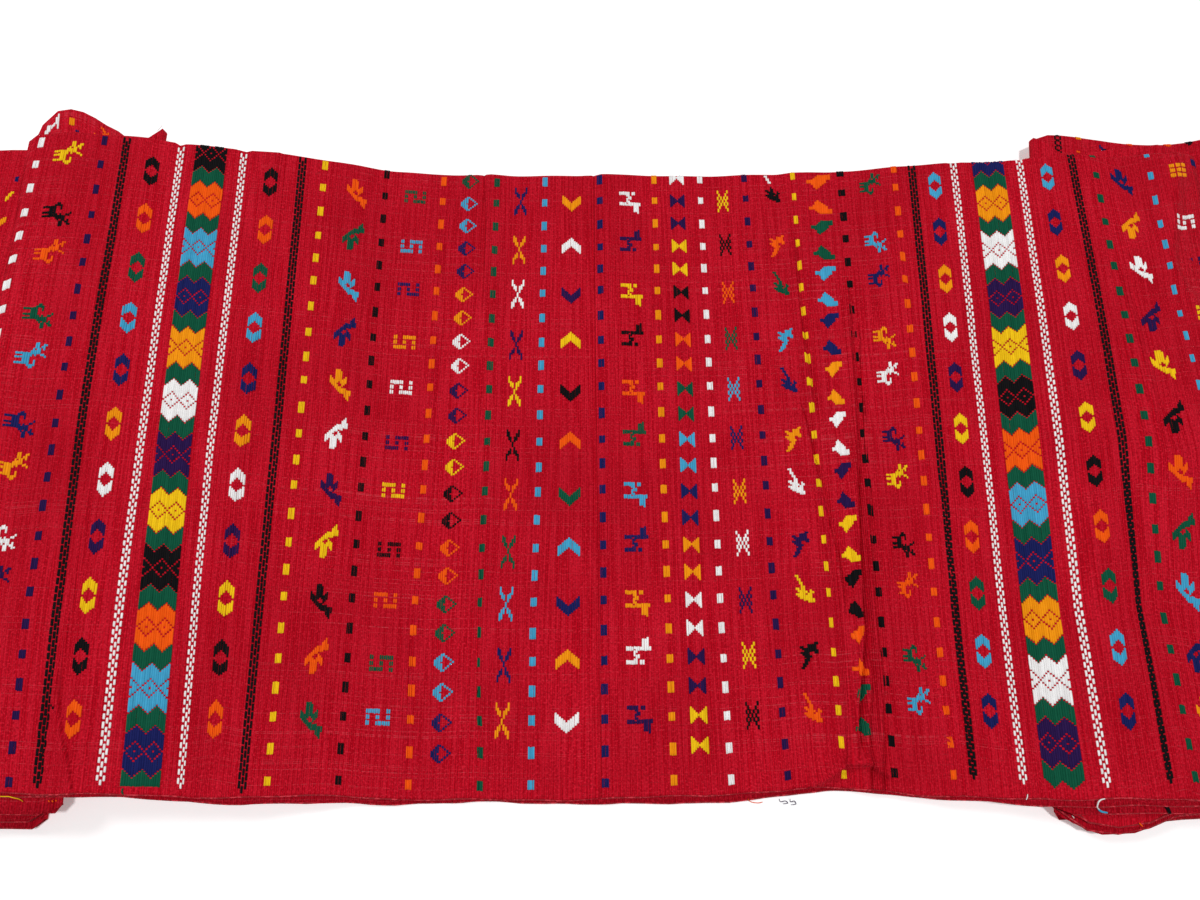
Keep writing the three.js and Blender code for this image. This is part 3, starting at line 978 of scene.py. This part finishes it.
Eyes = namedtuple("Eyes", "s first pitch colour pick tall")
EYES = (
    Eyes(-330.6, 24.8, 38.75, 0, 1.35, 0.95),
    Eyes(-247, 24.8, 38.75, 0, 1.38, 0.95),
    Eyes(254, 19, 38.4, 3, 1.27, 0.91),
    Eyes(335, 19, 38.4, 3, 1.22, 0.9),
)
eyes = []
for line in EYES:
    for n in range(IN_LINE):
        figure = eye(line.pick, line.tall)
        eyes.append(floats_at(figure, line.s, line.first + line.pitch * n, line.colour + n))
lay_in("eyes", eyes, width=1.5)

# ---- Wide bands ----------------------------------------------------------------------------------------
# Two bands of seventeen picks, covered from edge to edge: blocks of eight colours with one or two
# diamonds left open in thin red lines, and green zigzags between the blocks.

BAND_YARNS = ["black", "orange", "light_blue", "navy", "amber", "white", "purple", "yellow"]
BLOCK_HALF, DIAMOND_HALF, DIAMOND_SLANT, RED_LINE = 12.1 * UNIT, 4.5 * UNIT, 1.1 * UNIT, 0.42 * UNIT
BESIDE_BLOCK = 0.7  # from a block to the green zigzag
BAND_TOP, BAND_END = -1.5, 452  # just over the fold, and a little before the selvedge


def band(s, first, pitch, colour, pick):
    """The floats of one wide band. Its blocks have one diamond and two by turns."""
    rows = []
    for n in range(12):
        middle = first + pitch * n
        yarn = COLOURS.index(BAND_YARNS[(colour + n) % len(BAND_YARNS)])
        for k in range(-8, 9):
            apart = abs(abs(k) - 4) if n % 2 else min(abs(k), 8 - abs(k))
            place = s + k * pick
            edge = BLOCK_HALF - apart * UNIT
            line = DIAMOND_HALF - apart * DIAMOND_SLANT
            cuts = [-edge, -line - RED_LINE, -line + RED_LINE, line - RED_LINE, line + RED_LINE, edge]
            if line < 0.9:
                cuts = [-edge, -RED_LINE, RED_LINE, edge]
            elif apart == 0:
                cuts = cuts[:3] + [-RED_LINE, RED_LINE] + cuts[3:]
            rows += [(place, middle + a, middle + b, yarn) for a, b in zip(cuts[::2], cuts[1::2])]
            above = middle + edge + BESIDE_BLOCK
            below = middle + pitch - (BLOCK_HALF - (4 - apart) * UNIT) - BESIDE_BLOCK
            rows.append((place, above, below, COLOURS.index("green")))
    return [(x, max(a, BAND_TOP), min(b, BAND_END), y) for x, a, b, y in rows if b > 0.6 and a < BAND_END]


lay_in("wide_bands", [band(-291, 4.8, 38.75, 0, 1.29), band(294, -2.4, 38.4, 3, 1.34)], width=1.6)

# ---- Birds ---------------------------------------------------------------------------------------------
# Two lines of flying birds, turned over by turns. They are charted as a weaver reads them, as most of
# the figures are: a column for each pick and a row for each step. A line goes through all the colours.


def charted(chart, pick=PICK, step=1.0):
    """The floats of a chart from its middle, for this pick and with rows of so many units each"""
    floats = []
    for column in range(len(chart[0])):
        place = (column - (len(chart[0]) - 1) / 2) * pick
        marks = [row[column] == "#" for row in chart] + [False]
        start = None
        for row, marked in enumerate(marks):
            if marked and start is None:
                start = row
            elif not marked and start is not None:
                low, high = (start - len(chart) / 2) * step, (row - len(chart) / 2) * step
                floats.append((place, low * UNIT - 0.2, high * UNIT + 0.2))
                start = None
    return floats


def line_of_figures(figure, s, first, pitch, colour, shifts, flipped):
    """Figures down the cloth. Of each two, shifts has how far they are moved, and flipped is which is
    turned over: 0, 1 or None."""
    return [
        floats_at(figure, s, first + pitch * n + shifts[n % 2], colour + n, flip=(n % 2 == flipped))
        for n in range(IN_LINE)
    ]


BIRD = charted(
    [
        "...........#..",
        "..........##..",
        ".........###..",
        ".........####.",
        "......#######.",
        ".....########.",
        "....######....",
        "...####.......",
        "..###..#......",
        ".###...##.....",
        "#####.####....",
        "##########....",
        "##.####.##....",
        "#..####..#....",
        "...####.......",
        "...####.......",
        "...####.......",
        "...###........",
    ],
    pick=1.16,
)
birds = line_of_figures(BIRD, -185, 22.5, 38.5, 1, (1.3, -1.3), 0)
birds += line_of_figures(BIRD, 389.3, 22.5, 38.5, 4, (0, 0), 0)
lay_in("birds", birds, width=1.3)

# ---- Deer ----------------------------------------------------------------------------------------------
# A line of small deer over the left pile, that stand sideways along the cloth with their heads by turns
# toward the fold and away from it.

DEER_CHART = [
    "......##......",
    ".....####.....",
    "######..#.....",
    "...###..#.....",
    "...###........",
    "######.......#",
    "...####.#..##.",
    "###########...",
    "......#####...",
    ".......#.##.#.",
    "........##.##.",
    "........##..##",
    "........##....",
]
deer = line_of_figures(charted(DEER_CHART, 1.45, 1.1), -392.7, 22.6, 38.5, 8, (-5, 5), 0)
lay_in("deer", deer, width=1.55)

# ---- Slim deer -----------------------------------------------------------------------------------------
# The same deer again in a line on the right of the middle, in narrower floats set closer together, so
# that they are slimmer.

slim_deer = line_of_figures(charted(DEER_CHART, 1.15, 1.06), 206.6, 23.0, 38.5, 2, (-9.3, 1.4), 0)
lay_in("slim_deer", slim_deer, width=1.25)

# ---- Meanders ------------------------------------------------------------------------------------------
# Two lines of square S shapes, every other one the other way round, in three rows of short floats. The
# line over the right pile is narrower, and begins with nine small blocks.

MEANDER_ROWS = [("#######...##", 0), ("##...##...##", 3), ("##...#######", 6)]
BLOCK_ROWS = [("###.###.###", 0), ("###.###.###", 3), ("###.###.###", 6)]


def meander(rows, mirrored, pick, tall):
    """The floats of these rows, each with the step it begins at, from the figure's middle"""
    floats = []
    for row, top in rows:
        for column, mark in enumerate(row[::-1] if mirrored else row):
            if mark == "#":
                place = (column - (len(row) - 1) / 2) * pick
                floats.append((place, (top - 4.15) * tall * UNIT, (top - 1.85) * tall * UNIT))
    return floats


meanders = []
for s, colour, pick, tall in ((-142, 2, 1.36, 1), (434, 5, 1.2, 1.08)):
    for n in range(IN_LINE):
        shift = 2 if n % 2 else -1.6
        rows = BLOCK_ROWS if s > 0 and n == 0 else MEANDER_ROWS
        figure = meander(rows, n % 2 == 1, pick, tall)
        meanders.append(floats_at(figure, s, 22 + 38.4 * n + shift, colour + n))
lay_in("meanders", meanders, width=1.3)

# ---- Half diamonds -------------------------------------------------------------------------------------
# One line of small diamonds filled on the left and only outlined on the right, two of each colour. The
# outline is a stepped row of the shortest floats.

HALF_DIAMOND = charted(
    [
        "...##....",
        "..##.#...",
        ".###..#..",
        "####...#.",
        "###.....#",
        "####...#.",
        ".###..#..",
        "..##.#...",
        "...##....",
    ],
    pick=1.45,
)
PAIRED = 23  # figures in a line with two of each colour
half_diamonds = []
for n in range(PAIRED):
    t = 5.5 + 19.15 * n - 2.8 * math.sin(math.pi * n / PAIRED)
    half_diamonds.append(floats_at(HALF_DIAMOND, -100.4, t, 2 + (n + 1) // 2))
lay_in("half_diamonds", half_diamonds)

# ---- Crosses -------------------------------------------------------------------------------------------
# One line of slim crosses with forked ends, every other one turned over. Each arm is two floats wide
# where it forks.

CROSS = charted(
    [
        "#.....#",
        "##....#",
        "##...##",
        "##...##",
        ".##.##.",
        ".##.##.",
        "..#.#..",
        "...#...",
        "...#...",
        "...#...",
        "....#..",
        "..#.#..",
        ".##.##.",
        ".##.##.",
        "##...##",
        "#.....#",
        "#.....#",
        "#.....#",
    ]
)
lay_in("crosses", line_of_figures(CROSS, -61, 22.6, 38.4, 4, (-1.2, 1.2), 0))

# ---- Arrowheads ----------------------------------------------------------------------------------------
# One line of arrowheads, each of eleven floats of one length, stepped to a point that is turned down and
# up by turns.

ARROWHEAD = [
    (k * 1.28, (0.95 * (5 - abs(k)) - 5.2) * UNIT, (0.95 * (5 - abs(k)) + 0.4) * UNIT)
    for k in range(-5, 6)
]
lay_in("arrowheads", line_of_figures(ARROWHEAD, -21.9, 23, 38.3, 5, (0.5, -2.5), 1))

# ---- Horned deer ---------------------------------------------------------------------------------------
# One line of deer with a long horn, standing along the cloth with the horn toward the fold and away
# from it by turns.

HORNED_DEER = charted(
    [
        "..........#.",
        "........###.",
        "........###.",
        "........###.",
        "........###.",
        "############",
        "####.#######",
        "....##......",
        "....#.......",
        "....###.....",
        ".....##.....",
        "....##......",
        "######.##...",
        "######.##...",
    ]
)
lay_in("horned_deer", line_of_figures(HORNED_DEER, 22.8, 22.5, 38.25, 6, (1.2, -5.5), 0))

# ---- Bow ties ------------------------------------------------------------------------------------------
# One line of bow ties, two of each colour. Each is two triangles point to point, of nine floats in all
# with the shortest in the middle.

BOW_TIE = [(k * 1.25, -(0.6 + 0.93 * abs(k)) * UNIT, (0.6 + 0.93 * abs(k)) * UNIT) for k in range(-4, 5)]
bow_ties = [floats_at(BOW_TIE, 59.4, 2 + 19.15 * n, 6 + (n + 1) // 2) for n in range(PAIRED)]
lay_in("bow_ties", bow_ties)

# ---- Lattices ------------------------------------------------------------------------------------------
# One line of figures of crossing dashes, like a narrow X of small squares. None of them is turned over,
# as they are the same both ways.

LATTICE = charted(
    [
        "#.....#",
        ".#...#.",
        "#.#.#.#",
        ".#.#.#.",
        "#.#.#.#",
        ".#...#.",
        "#.....#",
    ],
    pick=1.2,
    step=2,
)
lay_in("lattices", line_of_figures(LATTICE, 94.3, 21.5, 38.5, 8, (-0.2, -1.4), None))

# ---- Running animals -----------------------------------------------------------------------------------
# One line of long-tailed animals that run along the cloth, their tails toward the fold and away from it
# by turns. They differ in more than that, so both are charted.

RUNNER_CHART = [
    "##.......",
    ".#.......",
    ".##......",
    "..#......",
    "..##.....",
    "...#.....",
    "...##....",
    "##.##....",
    ".####..#.",
    "..####.##",
    "#####.##.",
    ".#######.",
    "..######.",
    "....#####",
    "......###",
]
RUNNER_BACK = charted(
    [
        ".......##",
        "....####.",
        "##..####.",
        ".#######.",
        "..#######",
        "#####..##",
        ".####....",
        "..####...",
        "...##....",
        "..###....",
        "..##.....",
        ".###.....",
        ".##......",
        "##.......",
    ],
    pick=1.28,
)
RUNNER_AHEAD = charted(RUNNER_CHART, pick=1.28)
# The first one's tail is white
running_animals = [
    floats_at(charted(RUNNER_CHART[:5], pick=1.28), 133, 4.3, "white"),
    floats_at(charted(RUNNER_CHART[5:], pick=1.28), 133, 17, "black"),
]
for n in range(1, IN_LINE):
    animal, shift = (RUNNER_BACK, 0.5) if n % 2 else (RUNNER_AHEAD, -3.5 if n == IN_LINE - 1 else -6.8)
    running_animals.append(floats_at(animal, 133, 22.5 + 38.5 * n + shift, n))
lay_in("running_animals", running_animals)

# ---- Fish ----------------------------------------------------------------------------------------------
# One line of plump fish, two of each colour, of which the first is turned over. Their floats are set
# closer together than most.

FISH = charted(
    [
        "....#......",
        "...###.....",
        "...####....",
        "..######...",
        "#########..",
        "#########..",
        "...########",
        "....#######",
        ".....######",
    ],
    pick=1.1,
)
fish = []
for n in range(IN_LINE):
    fish.append(floats_at(FISH, 167.8, 9 + 38.6 * n, 1 + n, flip=True))
    fish.append(floats_at(FISH, 167.8, 30.1 + 38.6 * n, 1 + n))
lay_in("fish", fish)

# ---- Figures at the edges of the piles -----------------------------------------------------------------
# The pattern goes on over the whole length. Where a layer of a pile shows past the one on top of it,
# parts of figures do too, laid in with the same floats. The other half's lie the other way round.

Glimpse = namedtuple("Glimpse", "yarn s t turned chart")
GLIMPSES = (
    Glimpse(
        "white", -439.5, -10.5, True,
        [
            "......#",
            "......#",
            ".....##",
            ".#...##",
            ".##..##",
            "#######",
            "#####.#",
            "###...#",
            "##....#",
            "#......",
        ],
    ),
    Glimpse("amber", -453.7, -10.6, True, ["###", "###", "###", "###"]),
    Glimpse("navy", -458.2, -16.6, True, ["##"]),
    Glimpse("orange", -474, -13.6, True, ["##..", "..##"]),
    Glimpse("orange", -481.5, -8, True, ["##.....", ".##.#..", "..####.", ".###..#", "..#...."]),
    Glimpse("navy", -583, 25, False, ["##", "##", "##"]),
    Glimpse("yellow", -585, 39, False, ["..##", ".##.", ".##.", "##..", "##..", "#..."]),
    Glimpse("amber", -586, 59, False, ["..##", ".###", "####", ".##.", "##.."]),
    Glimpse(
        "black", 596, 9.3, False,
        [
            ".##.",
            "#..#",
            "#..#",
            ".##.",
            "#..#",
            "#..#",
            ".##.",
            "#..#",
            "#..#",
            ".##.",
            "#..#",
            "#..#",
            ".##.",
        ],
    ),
    Glimpse("amber", 612, 1.6, False, ["###", "###"]),
    Glimpse("orange", 611, 12.6, False, ["##"]),
    Glimpse("navy", 629.4, 7, False, ["#..", "##.", ".##"]),
    Glimpse("black", 632.4, 9.6, False, ["##..", "####", ".###"]),
    Glimpse("orange", 651, 1.2, False, ["###", "###"]),
    Glimpse("orange", 680, 1.6, False, ["####", ".###"]),
    Glimpse("black", 697, 2, False, ["####", "####", ".##."]),
    Glimpse("navy", 449, 14, False, ["####", "####", "####", "####"]),
    Glimpse("white", 575, 12, False, ["###", "###", "##.", ".##"]),
    Glimpse("black", -347, 405, False, ["#.", ".#"]),
)
glimpses = []
for yarn, s, t, turned, chart in GLIMPSES:
    showing = [row[::-1] for row in chart[::-1]] if turned else chart
    glimpses.append(floats_at(charted(showing), s, t, yarn))
lay_in("glimpsed_figures", glimpses, width=1.4)

# ---- Selvedges -----------------------------------------------------------------------------------------
# Both edges of the length, where each pick turns back round a few doubled warp yarns: an uneven cord
# with paler yarns showing in it.


def stranded(name, strands):
    """Joins strands into one piece. Each is its path, its thickness and its material."""
    places, faces, paint_numbers, tiles = [], [], [], []
    done = 0
    paints = list(dict.fromkeys(paint for _, _, paint in strands))
    for number, (path, thick, paint) in enumerate(strands):
        turn, station, shape = tube(len(path) - 1)
        ahead = np.gradient(path, axis=0)
        side = np.cross(ahead, (0, 0, 1.0))
        side /= np.linalg.norm(side, axis=1, keepdims=True)
        above = np.cross(side, ahead)
        above /= np.linalg.norm(above, axis=1, keepdims=True)
        angle = 2 * math.pi * turn[:, None]
        radius = (np.broadcast_to(thick, len(path)) / 2)[station][:, None]
        aside, up = np.cos(angle) * side[station], np.sin(angle) * above[station]
        places.append(path[station] + radius * (aside + up))
        for f in shape:
            corner = f[::-1]
            faces.append([done + c for c in corner])
            round_it = (number + 0.1 + 0.7 * unrolled(turn[corner])) / len(strands)
            tiles.append(np.column_stack([round_it, station[corner] / len(path)]))
        paint_numbers += [paints.index(paint)] * len(shape)
        done += len(turn)
    return joined(name, places, faces, paint_numbers, tiles, paints)


CORD_DARK, CORD_PALE = (0.27, 0.001, 0.007, 1), (0.62, 0.03, 0.05, 1)
edging, tree, shader = new_material("selvedge_red")
coordinates = tree.nodes.new("ShaderNodeTexCoord")
specks = tree.nodes.new("ShaderNodeTexNoise")
specks.inputs["Scale"].default_value = 420
tree.links.new(coordinates.outputs["Object"], specks.inputs["Vector"])
paler = tree.nodes.new("ShaderNodeMapRange")
paler.inputs["From Min"].default_value = 0.5
paler.inputs["From Max"].default_value = 0.62
tree.links.new(specks.outputs["Fac"], paler.inputs["Value"])
mix = tree.nodes.new("ShaderNodeMix")
mix.data_type = "RGBA"
mix.inputs["A"].default_value = CORD_DARK
mix.inputs["B"].default_value = CORD_PALE
tree.links.new(paler.outputs["Result"], mix.inputs["Factor"])
tree.links.new(mix.outputs["Result"], shader.inputs["Base Color"])
shader.inputs["Roughness"].default_value = 0.85
cords = []
for column in (0, -1):
    path = face[::2, column] - outward[::2, column] * WEAVE / 2
    path[:, 2] = np.maximum(path[:, 2], WEAVE)
    thick = 1.0 + 0.2 * np.sin(along[::2] / 3.1) + 0.15 * np.sin(along[::2] / 8.3)
    cords.append((path, thick, edging))
stranded("selvedges", cords)

# ---- Loose threads -------------------------------------------------------------------------------------
# Ends of the pattern yarns that the weaver left hanging, mostly along the front edges. Each is a soft
# yarn that tapers at both ends, with its places from one end to the other.

Thread = namedtuple("Thread", "yarn thick places")
THREADS = (
    Thread(
        "yellow", 0.65,
        ((-378, -229.6, 36.9), (-372, -230, 37), (-366.5, -230, 37.2), (-363, -230.8, 36.6),
         (-360.3, -232.1, 34), (-359.4, -234.8, 30)),
    ),
    Thread("orange", 0.9, ((-343.4, -232.8, 32.5), (-343, -233.3, 32.6), (-342.6, -233.6, 32.4))),
    Thread("orange", 0.9, ((-341.2, -232.8, 32.5), (-340.8, -233.3, 32.6), (-340.4, -233.7, 32.4))),
    Thread("orange", 0.8, ((-339, -232.6, 32.5), (-338.6, -233, 32.6), (-338.4, -233.4, 32.4))),
    Thread("green", 1.0, ((-296.6, -225.4, 35.5), (-296.9, -227.4, 35.4), (-296.1, -229.2, 34.4))),
    Thread("white", 0.45, ((-338.6, 246.5, 22.5), (-336.6, 249, 23), (-335, 251.6, 23))),
    Thread(
        "orange", 0.6,
        ((96.6, -235.5, 3.4), (99, -237.6, 1.2), (103.5, -238.3, 0.6), (106.8, -237.6, 0.6)),
    ),
    Thread(
        "purple", 0.55,
        ((117.2, -235.4, 3), (118.4, -237.6, 1), (121.3, -236.9, 2), (123.1, -238.3, 1),
         (119.8, -238.9, 0.6)),
    ),
    Thread(
        "purple", 0.55,
        ((124.3, -235.4, 3), (124.9, -237.7, 1), (127.2, -236.9, 2), (128.4, -238.9, 1),
         (125, -239.5, 0.6)),
    ),
    Thread("white", 0.7, ((271.2, -230.4, 22.4), (270.9, -232, 22.3), (270.3, -233.8, 21.4))),
    Thread("white", 0.6, ((302.6, -244.6, 12.2), (303.6, -245.5, 12.2), (304, -246.9, 11.4))),
    Thread(
        "white", 1.0,
        ((316.9, -232.4, 28.1), (314, -233, 28.4), (312.6, -235, 27.4), (313.2, -237.6, 24.6),
         (315.4, -239.6, 22.5)),
    ),
    Thread("light_blue", 1.4, ((314.8, -239.4, 22.6), (317, -240.8, 22.4), (320.5, -241.4, 22.1))),
    Thread("black", 2.4, ((357.2, -234.3, 21.8), (358.6, -237.8, 21.8), (360.4, -242, 21.4))),
    Thread("orange", 1.0, ((342.8, -248.2, 16.4), (343.8, -249.4, 16.5), (344.8, -250.4, 16.2))),
)
loose = []
for yarn, thick, spots in THREADS:
    spots = np.array(spots, float)
    path = eased(np.linspace(0, len(spots) - 1, 5 * len(spots)), np.arange(len(spots)), spots)
    ends = np.sin(np.linspace(0.25, math.pi - 0.25, len(path))) ** 0.4
    loose.append((path, thick * ends, bpy.data.materials[yarn + "_yarn"]))
stranded("loose_threads", loose)
